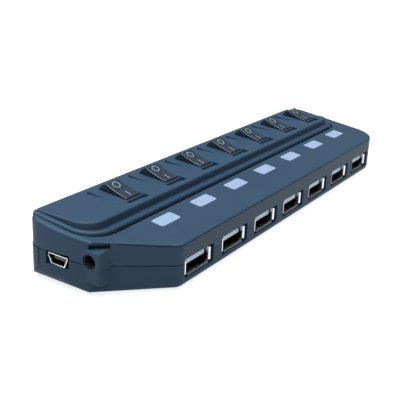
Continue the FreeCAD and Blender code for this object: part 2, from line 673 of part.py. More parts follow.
def build_window(x):
    pane = prism(window_wire(x, -WINDOW_GAP), Z_DECK - 6, Z_PANEL + 5)
    pane = pane.cut(slab(Z_DECK - WINDOW_SINK))
    seat = Z_DECK - DECK_THICK - SEAT_GAP
    pane = pane.common(slab(seat - WINDOW_FLANGE_THICK))
    half = WINDOW_LENGTH / 2 + WINDOW_FLANGE
    y0 = Y_FRONT + WINDOW_BACK - WINDOW_WIDTH / 2 - WINDOW_FLANGE
    leg_back = Y_FRONT + LEG_BACK + LEG_WIDTH / 2
    flange = box(x - half, x + half, y0, leg_back, Z_CASE, Z_PANEL + 5)
    flange = flange.common(slab(seat - WINDOW_FLANGE_THICK, WINDOW_FLANGE_THICK))
    leg = box(x - LEG_LENGTH / 2, x + LEG_LENGTH / 2, leg_back - LEG_WIDTH, leg_back,
              Z_BOARD + LED_HEIGHT + LED_GAP, Z_PANEL)
    leg = leg.cut(slab(seat - WINDOW_FLANGE_THICK / 2))
    return fused([pane, flange, leg])


def lip_plate(length, angle):
    """Flared lip: a sheet that leaves a mouth edge at the origin, running along X."""
    lean = math.radians(angle)
    out = (-FLARE * math.cos(lean), FLARE * math.sin(lean))
    thick = (SHELL_SHEET * math.sin(lean), SHELL_SHEET * math.cos(lean))
    points = [(0, 0), out, (out[0] - thick[0], out[1] - thick[1]), (-thick[0], -thick[1]),
              (SHELL_SHEET, -SHELL_SHEET), (SHELL_SHEET, 0)]
    return side_prism(points, -length / 2, length / 2)


def build_shell(x):
    y0 = Y_FRONT + SHELL_SINK
    y1 = y0 + SHELL_LENGTH
    half_w = SHELL_WIDTH / 2
    half_h = SHELL_HEIGHT / 2
    outer = front_box(x - half_w, x + half_w, y0, y1, Z_PORT - half_h, Z_PORT + half_h, SHELL_ROUND)
    t = SHELL_SHEET
    inner = front_box(x - half_w + t, x + half_w - t, y0 - 1, y1 - t,
                      Z_PORT - half_h + t, Z_PORT + half_h - t, SHELL_INNER_ROUND)
    parts = [outer.cut(inner)]
    wide = SHELL_WIDTH - 2 * (FLARE_CORNER + t)
    tall = SHELL_HEIGHT - 2 * (FLARE_CORNER + t / 3)
    for turn, length, angle, reach in ((180, wide, FLARE_FLAT_ANGLE, half_h), (90, tall, FLARE_SIDE_ANGLE, half_w),
                                       (-90, tall, FLARE_SIDE_ANGLE, half_w)):
        plate = lip_plate(length, angle)
        plate.translate(V(0, 0, reach))
        plate.rotate(V(0, 0, 0), V(0, 1, 0), turn)
        plate.translate(V(x, y0, Z_PORT))
        parts.append(plate)
    for side in (-1, 1):
        a = x + side * (half_w - t / 2)
        b = x + side * (half_w + EAR_REACH)
        parts.append(box(min(a, b), max(a, b), y0 + EAR_BACK, y0 + EAR_BACK + EAR_LENGTH, Z_BOARD, Z_BOARD + t))
    return fused(parts)


def tongue_levels():
    top = Z_PORT + SHELL_HEIGHT / 2 - SHELL_SHEET - TONGUE_DROP
    return top - TONGUE_THICK, top


def build_insert(x):
    t = SHELL_SHEET + SEAT_GAP
    half_w = SHELL_WIDTH / 2 - t
    half_h = SHELL_HEIGHT / 2 - t
    block = front_box(x - half_w, x + half_w, Y_INSERT - BLOCK_LENGTH, Y_INSERT,
                      Z_PORT - half_h, Z_PORT + half_h, SHELL_INNER_ROUND)
    low, top = tongue_levels()
    half = TONGUE_WIDTH / 2
    tongue = box(x - half, x + half, Y_TONGUE, Y_INSERT - BLOCK_LENGTH / 2, low, top)
    nose = [e for e in tongue.Edges if e.BoundBox.YMax < Y_TONGUE + 0.01]
    return fused([block, tongue.makeFillet(TONGUE_ROUND, nose)])


def build_contacts():
    strips = []
    low = tongue_levels()[0]
    for x in PORT_X:
        for place in CONTACT_SPREAD:
            a = x + place - CONTACT_WIDTH / 2
            strips.append(box(a, a + CONTACT_WIDTH, Y_TONGUE + CONTACT_SETBACK, Y_INSERT - BLOCK_LENGTH,
                              low - CONTACT_THICK, low))
    return Part.makeCompound(strips)


def build_board():
    wire = case_wire(-SEAM_STEP - WALL - BOARD_GAP)
    board = prism(wire, Z_BOARD - BOARD_THICK, Z_BOARD)
    cuts = [box(X_NEAR, block_end() + BOARD_GAP, Y_FRONT, Y_FRONT + CHAMFER + WALL + BOARD_GAP, Z_CASE, Z_PANEL)]
    for x in PORT_X:
        half = SHELL_WIDTH / 2 + NOTCH_GAP
        cuts.append(box(x - half, x + half, Y_FRONT - 1, Y_FRONT + SHELL_SINK + SHELL_LENGTH + NOTCH_GAP,
                        Z_CASE, Z_PANEL))
    for x, y in screw_places():
        cuts.append(rod_z(x, y, Z_CASE, Z_PANEL, BOSS_RADIUS + BOARD_GAP / 2))
    return board.cut(cuts)


def mini_profile(inset):
    """Mini USB outline as (y, z): wide at the top, narrower at the bottom."""
    half = MINI_WIDTH / 2 - inset
    z0 = Z_BOARD + inset
    z1 = Z_BOARD + MINI_HEIGHT - inset
    knee = Z_BOARD + MINI_HEIGHT * MINI_KNEE
    foot = half - MINI_TAPER
    return [(Y_MINI - half, z1), (Y_MINI - half, knee), (Y_MINI - foot, z0),
            (Y_MINI + foot, z0), (Y_MINI + half, knee), (Y_MINI + half, z1)]


def build_mini_shell():
    x0 = X_NEAR + MINI_SINK
    outer = side_prism(mini_profile(0.0), x0, x0 + MINI_LENGTH)
    inner = side_prism(mini_profile(MINI_SHEET), x0 - 1, x0 + MINI_LENGTH - MINI_SHEET)
    return outer.cut(inner)


def build_mini_insert():
    x0 = X_NEAR + MINI_SINK
    x1 = x0 + MINI_LENGTH - MINI_SHEET - SEAT_GAP
    block = side_prism(mini_profile(MINI_SHEET + SEAT_GAP), x1 - MINI_BLOCK_LENGTH, x1)
    middle = Z_BOARD + MINI_HEIGHT * MINI_TONGUE_LEVEL
    half = MINI_TONGUE_THICK / 2
    tongue = box(x0 + MINI_TONGUE_SETBACK, x1 - MINI_BLOCK_LENGTH / 2, Y_MINI - MINI_TONGUE_WIDTH / 2,
                 Y_MINI + MINI_TONGUE_WIDTH / 2, middle - half, middle + half)
    return fused([block, tongue])


def build_jack_body():
    collar = rod_x(X_BLOCK + JACK_NOSE_SINK, X_JACK + JACK_BACK_WALL, Y_JACK, Z_JACK, JACK_NOSE)
    end = X_JACK + JACK_BODY_LENGTH
    bore = rod_x(X_BLOCK, end - JACK_BACK_WALL, Y_JACK, Z_JACK, JACK_BORE)
    return fused([jack_room(0.0), collar]).cut([bore, rod_x(X_BLOCK, end, Y_JACK, Z_JACK, JACK_PIN)])


def build_jack_pin():
    x0 = X_JACK + JACK_PIN_SINK
    pin = rod_x(x0, X_JACK + JACK_BODY_LENGTH - JACK_PIN_TAIL, Y_JACK, Z_JACK, JACK_PIN)
    nose = [e for e in pin.Edges if e.BoundBox.XMax < x0 + 0.01]
    return pin.makeFillet(JACK_PIN_ROUND, nose)


def build_jack_spring():
    x0 = X_JACK + SPRING_BACK
    low = Z_JACK - JACK_BORE + SPRING_LIFT
    half = SPRING_WIDTH / 2
    return box(x0, x0 + SPRING_LENGTH, Y_JACK - half, Y_JACK + half, low, low + SPRING_THICK)


def build_screws():
    screws = []
    a = SCREW_CROSS / 2
    b = SCREW_CROSS_WIDTH / 2
    for x, y in screw_places():
        z0 = Z_CASE + SCREW_GAP
        head = rod_z(x, y, z0, z0 + SCREW_HEAD_THICK, SCREW_HEAD)
        shank = rod_z(x, y, z0 + SCREW_HEAD_THICK / 2, z0 + SCREW_LENGTH, SCREW_RADIUS)
        cross = [box(x - a, x + a, y - b, y + b, z0 - 1, z0 + SCREW_CROSS_DEPTH),
                 box(x - b, x + b, y - a, y + a, z0 - 1, z0 + SCREW_CROSS_DEPTH)]
        screws.append(fused([head, shank]).cut(cross))
    return Part.makeCompound(screws)


def build_feet():
    feet = []
    for x, y in foot_places():
        disc = rod_z(x, y, 0.0, FOOT_THICK, FOOT_RADIUS)
        edge = [e for e in disc.Edges if e.BoundBox.ZMax < 0.01]
        feet.append(disc.makeFillet(FOOT_ROUND, edge))
    return Part.makeCompound(feet)


def build_leds():
    y0 = Y_FRONT + LEG_BACK - LEG_WIDTH / 2
    chips = [box(x - LEG_LENGTH / 2, x + LEG_LENGTH / 2, y0, y0 + LEG_WIDTH, Z_BOARD, Z_BOARD + LED_HEIGHT)
             for x in PORT_X]
    return Part.makeCompound(chips)


def on_board(gap, back, width, length, height):
    """Block on the board, centred in the gap after a port."""
    x = PORT_X[gap] + PITCH / 2
    y = Y_FRONT + back
    return box(x - width / 2, x + width / 2, y - length / 2, y + length / 2, Z_BOARD, Z_BOARD + height)


def build_hub_chips():
    return Part.makeCompound([on_board(gap, CHIP_BACK, CHIP_SIZE, CHIP_SIZE, CHIP_THICK) for gap in CHIP_GAPS])


def build_crystal():
    can = on_board(CRYSTAL_GAP, CRYSTAL_BACK, CRYSTAL_WIDTH, CRYSTAL_LENGTH, CRYSTAL_HEIGHT)
    upright = [e for e in can.Edges if e.BoundBox.ZLength > CRYSTAL_HEIGHT / 2]
    return can.makeFillet(CRYSTAL_ROUND, upright)


def build_capacitors():
    cans = []
    for gap in CAN_GAPS:
        can = rod_z(PORT_X[gap] + PITCH / 2, Y_FRONT + CAN_BACK, Z_BOARD, Z_BOARD + CAN_HEIGHT, CAN_RADIUS)
        rims = [e for e in can.Edges if e.BoundBox.ZMin > Z_BOARD + CAN_HEIGHT - 0.01]
        cans.append(can.makeFillet(CAN_ROUND, rims))
    return Part.makeCompound(cans)


def build_terminals():
    blades = []
    half_x = BLADE_WIDTH / 2
    half_y = BLADE_THICK / 2
    for x in PORT_X:
        for y in (Y_PIVOT - BLADE_SPREAD, Y_PIVOT, Y_PIVOT + BLADE_SPREAD):
            blades.append(box(x - half_x, x + half_x, y - half_y, y + half_y, Z_BOARD,
                              Z_PANEL - SWITCH_COVER - SWITCH_HEIGHT))
    return Part.makeCompound(blades)


NODES["lower_case"] = build_lower_case()
NODES["upper_case"] = build_upper_case()
NODES["switch_panel"] = build_switch_panel()
for number, port_x in enumerate(PORT_X, 1):
    NODES["usb_a_shell_%d" % number] = build_shell(port_x)
    NODES["usb_a_insert_%d" % number] = build_insert(port_x)
    NODES["light_window_%d" % number] = build_window(port_x)
    NODES["rocker_%d" % number] = build_rocker(port_x)
    NODES["switch_body_%d" % number] = build_switch_body(port_x)
NODES["usb_a_contacts"] = build_contacts()
NODES["circuit_board"] = build_board()
NODES["mini_usb_shell"] = build_mini_shell()
NODES["mini_usb_insert"] = build_mini_insert()
NODES["power_jack_body"] = build_jack_body()
NODES["power_jack_pin"] = build_jack_pin()
NODES["power_jack_spring"] = build_jack_spring()
NODES["case_screws"] = build_screws()
NODES["rubber_feet"] = build_feet()
NODES["indicator_leds"] = build_leds()
NODES["hub_chips"] = build_hub_chips()
NODES["crystal"] = build_crystal()
NODES["capacitors"] = build_capacitors()
NODES["switch_terminals"] = build_terminals()

os.makedirs("parts", exist_ok=True)
for name, shape in NODES.items():
    if not shape.isValid():
        print("not valid:", name)
    box_of = shape.BoundBox
    print("%-18s solids %2d volume %9.1f  x %.2f %.2f  y %.2f %.2f  z %.2f %.2f" % (
        name, len(shape.Solids), shape.Volume, box_of.XMin, box_of.XMax, box_of.YMin, box_of.YMax,
        box_of.ZMin, box_of.ZMax))
    shape.exportStep("parts/%s.step" % name)
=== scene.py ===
"""Looks of a seven-port USB hub: finishes, switch markings, light and camera."""
import json
import math

import bpy
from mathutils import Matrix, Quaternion, Vector


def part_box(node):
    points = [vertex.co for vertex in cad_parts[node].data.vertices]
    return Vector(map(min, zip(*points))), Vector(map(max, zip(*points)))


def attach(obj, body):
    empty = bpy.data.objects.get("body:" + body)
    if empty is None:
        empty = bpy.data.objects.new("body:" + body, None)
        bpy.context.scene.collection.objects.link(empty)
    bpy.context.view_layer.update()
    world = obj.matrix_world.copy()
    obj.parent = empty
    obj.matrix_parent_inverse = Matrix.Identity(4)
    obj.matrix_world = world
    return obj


bl_info = {
    "name": "USB hub",
    "version": (1, 0, 0),
    "blender": (4, 5, 0),
    "location": "3D View > Sidebar > USB Hub",
    "description": "Gives a seven-port USB hub its finishes, switch markings, light and camera",
    "category": "Object",
}

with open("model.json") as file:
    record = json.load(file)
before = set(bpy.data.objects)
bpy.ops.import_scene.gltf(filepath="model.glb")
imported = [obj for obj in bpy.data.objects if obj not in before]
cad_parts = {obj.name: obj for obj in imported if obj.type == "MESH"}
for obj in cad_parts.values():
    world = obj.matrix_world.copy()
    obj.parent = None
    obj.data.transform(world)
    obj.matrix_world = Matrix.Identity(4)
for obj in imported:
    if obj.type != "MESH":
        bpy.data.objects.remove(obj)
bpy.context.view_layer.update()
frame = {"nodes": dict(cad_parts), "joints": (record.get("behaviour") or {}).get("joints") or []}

PORTS = len([name for name in frame["nodes"] if name.startswith("rocker_")])

# ---- sizes and colours ---------------------------------------------------

# Sizes of surface patterns, in metres
CLOUD = 0.022               # broad shading of the case plastic
WEAR = 0.003                # worn patches of the rockers
FLOW = 0.005                # flow marks of plain plastic
STREAK = 0.0006             # streaks of drawn metal
STAIN = 0.004               # stains on metal
FROST = 0.0005              # frosting of the windows
HAZE = 0.004                # uneven glow of the windows
SPECK = 0.0003              # specks in the marking paint
FLOOR_CLOUD = 0.3
FLECK = 2.4                 # case fleck's size as a multiple of the grain's

# Widths of the painted highlights along edges, in metres
CASE_HIGHLIGHT_WIDTH = 0.0004
ROCKER_HIGHLIGHT_WIDTH = 0.0003

# How closely rounded and true normals match, on an open face and on a full edge
EDGE_MATCH = (0.995, 0.90)
EDGE_SAMPLES = 4

# Where the painted shade inside a mouth starts and ends, in metres inwards from its front
SHELL_SHADE = (-0.0007, 0.0012)
TONGUE_SHADE = (0.0006, 0.0040)
INLET_SHADE = (0.0002, 0.0012)
DEEP_SHADE = 0.06                 # share of a colour left deep inside a mouth, under painted shade

# Stretch of a metal's streaks along each axis
DRAWN_X = (0.12, 1.0, 1.0)
DRAWN_Z = (1.0, 1.0, 0.12)

RING_SIDES = 40
BAR_STEPS = 9               # points along the bar, which let it follow the dish

SKY_COLOUR = (0.93, 0.965, 1.0)
KEY_COLOUR = (0.95, 0.98, 1.0)
KEY_SPREAD = math.radians(70.0)
KEY_AIM = (0.12, -0.10, -1.0)
FLOOR_GLOW = (0.97, 0.985, 1.0)
FLOOR_HALF = 6.0            # half the floor's side, in metres
SENSOR = 36.0               # camera sensor's width, in millimetres
NEAREST = 0.01              # nearest distance that the camera sees, in metres


def colour(name, description, default):
    return bpy.props.FloatVectorProperty(name=name, description=description, default=default,
                                         subtype="COLOR", size=3, min=0.0, max=1.0)


def length(name, description, default):
    return bpy.props.FloatProperty(name=name, description=description, default=default,
                                   subtype="DISTANCE", unit="LENGTH", precision=5)


def share(name, description, default):
    return bpy.props.FloatProperty(name=name, description=description, default=default,
                                   subtype="FACTOR", min=0.0, max=1.0)


class HubFinishes(bpy.types.PropertyGroup):
    upper: colour("Upper case", "Plastic of the upper case and its deck", (0.0160, 0.0345, 0.0590))
    lower: colour("Lower case", "Plastic of the lower case", (0.0125, 0.0300, 0.0530))
    panel: colour("Switch panel", "Plastic of the raised switch panel", (0.0165, 0.0360, 0.0640))
    rocker: colour("Rockers", "Plastic of the rocker keys", (0.0062, 0.0150, 0.0270))
    mark: colour("Markings", "Paint of the switch markings", (0.20, 0.25, 0.31))
    window: colour("Light windows", "Frosted plastic of the light windows", (0.160, 0.215, 0.300))
    tongue: colour("Port tongues", "Plastic of the tongues in the ports", (0.46, 0.54, 0.64))
    steel: colour("Port shells", "Plated steel of the ports", (0.78, 0.80, 0.83))
    gloss: share("Case roughness", "Roughness of the moulded case", 0.46)
    grain: length("Grain", "Size of the fine grain moulded into the case", 0.00035)
    grain_depth: length("Grain depth", "Depth of that grain", 0.000012)
    glow: share("Glow", "Light given off by the windows", 0.20)


class HubMarks(bpy.types.PropertyGroup):
    ring_radius: length("Ring radius", "Middle of the ring's line", 0.00130)
    line: length("Line width", "Width of the ring's and bar's lines", 0.00030)
    bar: length("Bar length", "Length of the bar mark", 0.0027)
    spread: length("Spread", "Each mark's distance from the middle of the rocker", 0.00255)
    paint: length("Paint", "How far the paint stands above the rocker", 0.00003)
    half: length("Half rocker", "Half the length of the rocker's top", 0.00455)
    rise: length("Rise", "Rocker's top above its pivot", 0.00436)
    dish: length("Dish", "Depth of the hollow in the rocker's top", 0.0003)
    tilt: bpy.props.FloatProperty(name="Tilt", description="Rocker's tilt at rest",
                                  subtype="ANGLE", default=math.radians(19.0))


class HubStage(bpy.types.PropertyGroup):
    eye: bpy.props.FloatVectorProperty(name="Camera", description="Where the camera stands",
                                       size=3, subtype="TRANSLATION", unit="LENGTH",
                                       default=(-0.23158, -0.13409, 0.10609))
    azimuth: bpy.props.FloatProperty(name="Azimuth",
                                     description="Camera's direction round the hub",
                                     subtype="ANGLE", default=math.radians(-57.10))
    elevation: bpy.props.FloatProperty(name="Elevation",
                                       description="How far the camera looks down",
                                       subtype="ANGLE", default=math.radians(21.008))
    roll: bpy.props.FloatProperty(name="Roll", description="Camera's turn about its own view",
                                  subtype="ANGLE", default=math.radians(2.305))
    lens: bpy.props.FloatProperty(name="Lens", description="Focal length in millimetres",
                                  default=67.79)
    sky: bpy.props.FloatProperty(name="Room light", description="Strength of the even white light",
                                 default=0.25)
    key: bpy.props.FloatProperty(name="Key light",
                                 description="Strength of the soft light overhead",
                                 default=7.6)
    floor: share("Floor", "Share of the light that the pale floor gives back", 0.20)
    lit: share("Lit floor", "Light that the floor gives off, which softens shadows", 0.85)


# ---- shader nodes --------------------------------------------------------

class Wire:
    """A socket of a material's nodes, with sums that add Math nodes."""

    def __init__(self, finish, socket):
        self.finish = finish
        self.socket = socket

    def maths(self, operation, first, second):
        node = self.finish.add("ShaderNodeMath", {0: first, 1: second}, operation=operation)
        return Wire(self.finish, node.outputs[0])

    def __add__(self, other):
        return self.maths("ADD", self, other)

    def __sub__(self, other):
        return self.maths("SUBTRACT", self, other)

    def __rsub__(self, other):
        return self.maths("SUBTRACT", other, self)

    def __mul__(self, other):
        return self.maths("MULTIPLY", self, other)

    __radd__ = __add__
    __rmul__ = __mul__


class Finish:
    """A material on one Principled shader, and the nodes that vary it."""

    def __init__(self, name, **constants):
        self.material = bpy.data.materials.new(name)
        self.material.use_nodes = True
        self.tree = self.material.node_tree
        self.tree.nodes.clear()
        self.shader = self.add("ShaderNodeBsdfPrincipled", {
            key.replace("_", " "): value for key, value in constants.items()})
        self.add("ShaderNodeOutputMaterial", {"Surface": self.shader.outputs[0]})

    def add(self, kind, inputs, **settings):
        node = self.tree.nodes.new(kind)
        for name, setting in settings.items():
            setattr(node, name, setting)
        for key, value in inputs.items():
            if isinstance(value, Wire):
                value = value.socket
            if isinstance(value, bpy.types.NodeSocket):
                self.tree.links.new(value, node.inputs[key])
            elif hasattr(value, "__len__") and len(value) == 3 and node.inputs[key].type == "RGBA":
                node.inputs[key].default_value = (*value, 1.0)
            else:
                node.inputs[key].default_value = value
        return node

    def place(self):
        return self.add("ShaderNodeTexCoord", {}).outputs["Object"]

    def noise(self, size, detail=2.0, rough=0.5, stretch=(1.0, 1.0, 1.0)):
        """Noise from 0 to 1 whose features are about size metres across."""
        where = self.add("ShaderNodeMapping", {"Vector": self.place(), "Scale": stretch})
        node = self.add("ShaderNodeTexNoise", {"Vector": where.outputs[0], "Scale": 1.0 / size,
                                               "Detail": detail, "Roughness": rough})
        return Wire(self, node.outputs[0])

    def edges(self, radius):
        """1 along edges sharper than radius, 0 on open faces."""
        rounded = self.add("ShaderNodeBevel", {"Radius": radius}, samples=EDGE_SAMPLES)
        facing = self.add("ShaderNodeNewGeometry", {})
        match = self.add("ShaderNodeVectorMath",
                         {0: rounded.outputs[0], 1: facing.outputs["Normal"]},
                         operation="DOT_PRODUCT")
        spread = self.add("ShaderNodeMapRange", {
            "Value": match.outputs["Value"], "From Min": EDGE_MATCH[0], "From Max": EDGE_MATCH[1],
            "To Min": 0.0, "To Max": 1.0})
        return Wire(self, spread.outputs[0])

    def depth(self, axis, start, stop):
        """0 at start, 1 at stop, in metres along an axis of the hub."""
        place = self.add("ShaderNodeSeparateXYZ", {0: self.place()}).outputs[axis]
        node = self.add("ShaderNodeMapRange", {
            "Value": place, "From Min": start, "From Max": stop})
        return Wire(self, node.outputs[0])

    def mixed(self, factor, first, second):
        node = self.add("ShaderNodeMix", {0: factor, 6: first, 7: second}, data_type="RGBA")
        return node.outputs[2]

    def set(self, **inputs):
        for key, value in inputs.items():
            source = value.socket if isinstance(value, Wire) else value
            self.tree.links.new(source, self.shader.inputs[key.replace("_", " ")])

    def bump(self, height, distance):
        node = self.add("ShaderNodeBump", {
            "Height": height, "Distance": distance, "Strength": 1.0})
        self.set(Normal=node.outputs[0])


def tint(shade, amount):
    return tuple(min(1.0, part * amount) for part in shade)


def moulded(name, shade, looks, gloss):
    """Fine-grained moulded plastic, smoother along its edges, with a highlight painted along them.
    """
    finish = Finish(name, IOR=1.46, Specular_IOR_Level=0.16)
    cloud = finish.noise(CLOUD, 3.0)
    fleck = finish.noise(looks.grain * FLECK, 3.0, 0.7)
    edge_highlight = finish.edges(CASE_HIGHLIGHT_WIDTH)
    base = finish.mixed(cloud, tint(shade, 0.90), tint(shade, 1.10))
    base = finish.mixed(fleck * 0.35, base, tint(shade, 1.35))
    # painted highlight: the plastic's colour is made paler along its edges
    base = finish.mixed(edge_highlight * 0.30, base, tint(shade, 1.9))
    finish.set(Base_Color=base, Roughness=(
        gloss - edge_highlight * 0.08 + (cloud - 0.5) * 0.10 + (fleck - 0.5) * 0.06))
    finish.bump(finish.noise(looks.grain, 2.0, 0.6), looks.grain_depth)
    return finish.material


def metal(name, shade, rough, stretch, inside=None):
    """Drawn or pressed metal with fine streaks, and painted shade that can darken it deep inside a
    mouth.
    """
    finish = Finish(name, Metallic=1.0)
    streak = finish.noise(STREAK, 4.0, 0.6, stretch)
    stain = finish.noise(STAIN, 3.0)
    base = finish.mixed(streak, tint(shade, 0.90), tint(shade, 1.08))
    base = finish.mixed(stain * 0.25, base, tint(shade, 0.72))
    if inside:
        # painted shade: the colour darkens deep inside a mouth
        base = finish.mixed(finish.depth(*inside), base, tint(shade, DEEP_SHADE))
    finish.set(Base_Color=base, Roughness=rough + (streak - 0.5) * 0.12 + (stain - 0.5) * 0.10)
    finish.bump(streak, 0.000004)
    return finish.material


def smooth_plastic(name, shade, rough, grain=0.0002, depth=0.000004, inside=None):
    """Plain moulded plastic with slight flow marks, and painted shade that can darken it deep
    inside a mouth.
    """
    finish = Finish(name, IOR=1.5)
    flow = finish.noise(FLOW, 3.0, 0.5, (1.0, 0.35, 1.0))
    base = finish.mixed(flow, tint(shade, 0.92), tint(shade, 1.08))
    if inside:
        # painted shade: the colour darkens deep inside a mouth
        base = finish.mixed(finish.depth(*inside), base, tint(shade, DEEP_SHADE))
    finish.set(Base_Color=base, Roughness=rough + (flow - 0.5) * 0.12)
    finish.bump(finish.noise(grain, 2.0), depth)
    return finish.material


def paint(material, *nodes):
    """Gives CAD nodes a material in place of their plain one."""
    for name in nodes:
        part = frame["nodes"][name]
        for place in part.material_slots:
            place.material = material
        if not part.material_slots:
            raise RuntimeError(name + " has no material slot")


def numbered(name):
    return ["%s_%d" % (name, i + 1) for i in range(PORTS)]


def inwards(axis, mouth, shade):
    """Axis, start and end of the painted shade inside a mouth."""
    return axis, mouth + shade[0], mouth + shade[1]


# ---- pieces --------------------------------------------------------------

class HUB_OT_case(bpy.types.Operator):
    """Give the case halves and the switch panel their moulded plastic"""
    bl_idname = "hub.case"
    bl_label = "Case"

    def execute(self, context):
        looks = context.scene.hub_finishes
        paint(moulded("upper case plastic", looks.upper, looks, looks.gloss), "upper_case")
        paint(moulded("lower case plastic", looks.lower, looks, looks.gloss + 0.04), "lower_case")
        paint(moulded("switch panel plastic", looks.panel, looks, looks.gloss - 0.02),
              "switch_panel")
        return {"FINISHED"}


class HUB_OT_switches(bpy.types.Operator):
    """Give the rockers and the switch housings their plastic"""
    bl_idname = "hub.switches"
    bl_label = "Switches"

    def execute(self, context):
        looks = context.scene.hub_finishes
        finish = Finish("rocker plastic", IOR=1.5, Specular_IOR_Level=0.5)
        worn = finish.noise(WEAR, 4.0, 0.6)
        edge_highlight = finish.edges(ROCKER_HIGHLIGHT_WIDTH)
        base = finish.mixed(worn, tint(looks.rocker, 0.88), tint(looks.rocker, 1.14))
        # painted highlight: the rocker's colour is made paler along its edges
        base = finish.mixed(edge_highlight * 0.35, base, tint(looks.rocker, 1.7))
        finish.set(Base_Color=base, Roughness=0.34 + (worn - 0.5) * 0.14)
        finish.bump(finish.noise(0.00018, 2.0), 0.000006)
        paint(finish.material, *numbered("rocker"))
        paint(smooth_plastic("switch housing plastic", (0.012, 0.016, 0.022), 0.55),
              *numbered("switch_body"))
        return {"FINISHED"}


def marks_tree():
    """Node tree that makes a ring and a bar lying on a rocker's dished top."""
    tree = bpy.data.node_groups.new("switch marks", "GeometryNodeTree")
    for name in ("Ring radius", "Line", "Bar", "Spread", "Paint", "Half", "Rise", "Dish", "Tilt"):
        tree.interface.new_socket(name, in_out="INPUT", socket_type="NodeSocketFloat")
    tree.interface.new_socket("Pivot", in_out="INPUT", socket_type="NodeSocketVector")
    tree.interface.new_socket("Material", in_out="INPUT", socket_type="NodeSocketMaterial")
    tree.interface.new_socket("Geometry", in_out="OUTPUT", socket_type="NodeSocketGeometry")

    def add(kind, inputs, **settings):
        node = tree.nodes.new(kind)
        for name, setting in settings.items():
            setattr(node, name, setting)
        for key, value in inputs.items():
            if isinstance(value, bpy.types.NodeSocket):
                tree.links.new(value, node.inputs[key])
            else:
                node.inputs[key].default_value = value
        return node

    def maths(operation, first, second):
        return add("ShaderNodeMath", {0: first, 1: second}, operation=operation).outputs[0]

    def vector(x, y, z):
        return add("ShaderNodeCombineXYZ", {0: x, 1: y, 2: z}).outputs[0]

    given = tree.nodes.new("NodeGroupInput").outputs
    section = add("GeometryNodeCurvePrimitiveQuadrilateral", {"Width": given["Line"],
                                                              "Height": given["Paint"]}).outputs[0]
    circle = add("GeometryNodeCurvePrimitiveCircle", {
        "Resolution": RING_SIDES, "Radius": given["Ring radius"]}, mode="RADIUS").outputs[0]
    ring = add("GeometryNodeCurveToMesh", {"Curve": circle, "Profile Curve": section}).outputs[0]
    ring = add("GeometryNodeTransform", {
        "Geometry": ring, "Translation": vector(0.0, given["Spread"], 0.0)}).outputs[0]
    bar = add("GeometryNodeMeshCube", {
        "Size": vector(given["Line"], given["Bar"], given["Paint"]),
        "Vertices X": 2, "Vertices Y": BAR_STEPS, "Vertices Z": 2}).outputs[0]
    back = maths("MULTIPLY", given["Spread"], -1.0)
    bar = add("GeometryNodeTransform", {"Geometry": bar,
                                        "Translation": vector(0.0, back, 0.0)}).outputs[0]
    both = add("GeometryNodeJoinGeometry", {})
    for piece in (bar, ring):
        tree.links.new(piece, both.inputs[0])
    position = add("GeometryNodeInputPosition", {}).outputs[0]
    place = add("ShaderNodeSeparateXYZ", {0: position}).outputs
    along = maths("DIVIDE", place[1], given["Half"])
    hollow = maths("SUBTRACT", maths("MULTIPLY", along, along), 1.0)
    height = maths("ADD", given["Rise"], maths("MULTIPLY", hollow, given["Dish"]))
    laid = add("GeometryNodeSetPosition", {"Geometry": both.outputs[0],
                                           "Offset": vector(0.0, 0.0, height)}).outputs[0]
    turned = add("GeometryNodeTransform", {"Geometry": laid,
                                           "Rotation": vector(given["Tilt"], 0.0, 0.0),
                                           "Translation": given["Pivot"]}).outputs[0]
    real = add("GeometryNodeRealizeInstances", {"Geometry": turned}).outputs[0]
    finished = add("GeometryNodeSetMaterial", {"Geometry": real,
                                               "Material": given["Material"]}).outputs[0]
    add("NodeGroupOutput", {"Geometry": finished})
    return tree


def grown(name, tree, values):
    """Plain mesh object made by a node tree with these named inputs."""
    seed = bpy.data.meshes.new(name)
    maker = bpy.data.objects.new(name, seed)
    bpy.context.scene.collection.objects.link(maker)
    modifier = maker.modifiers.new("make", "NODES")
    modifier.node_group = tree
    for item in tree.interface.items_tree:
        if item.in_out == "INPUT" and item.name in values:
            modifier[item.identifier] = values[item.name]
    result = maker.evaluated_get(bpy.context.evaluated_depsgraph_get())
    shape = bpy.data.meshes.new_from_object(result)
    maker.modifiers.remove(modifier)
    maker.data = shape
    shape.name = name
    bpy.data.meshes.remove(seed)
    return maker


class HUB_OT_marks(bpy.types.Operator):
    """Paint a ring and a bar on every rocker"""
    bl_idname = "hub.marks"
    bl_label = "Switch marks"

    def execute(self, context):
        looks = context.scene.hub_finishes
        sizes = context.scene.hub_marks
        finish = Finish("marking paint", Roughness=0.5)
        speck = finish.noise(SPECK, 3.0, 0.7)
        finish.set(Base_Color=finish.mixed(speck, tint(looks.mark, 0.7), looks.mark))
        finish.bump(speck, 0.000005)
        tree = marks_tree()
        for joint in frame["joints"]:
            body = joint["child"]
            piece = grown(body + "_marks", tree, {
                "Ring radius": sizes.ring_radius, "Line": sizes.line, "Bar": sizes.bar,
                "Spread": sizes.spread, "Paint": sizes.paint, "Half": sizes.half,
                "Rise": sizes.rise, "Dish": sizes.dish, "Tilt": sizes.tilt,
                "Pivot": Vector(joint["pos_m"]), "Material": finish.material})
            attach(piece, body)
        return {"FINISHED"}


class HUB_OT_windows(bpy.types.Operator):
    """Frost the light windows and make them glow a little"""
    bl_idname = "hub.windows"
    bl_label = "Light windows"

    def execute(self, context):
        looks = context.scene.hub_finishes
        finish = Finish("frosted window", IOR=1.49, Emission_Strength=looks.glow)
        frost = finish.noise(FROST, 3.0, 0.6)
        haze = finish.noise(HAZE, 2.0)
        base = finish.mixed(frost, tint(looks.window, 0.94), tint(looks.window, 1.06))
        finish.set(Base_Color=base, Roughness=0.42 + (haze - 0.5) * 0.12,
                   Emission_Color=finish.mixed(haze, tint(looks.window, 0.8), looks.window))
        finish.bump(frost, 0.000006)
        paint(finish.material, *numbered("light_window"))
        return {"FINISHED"}


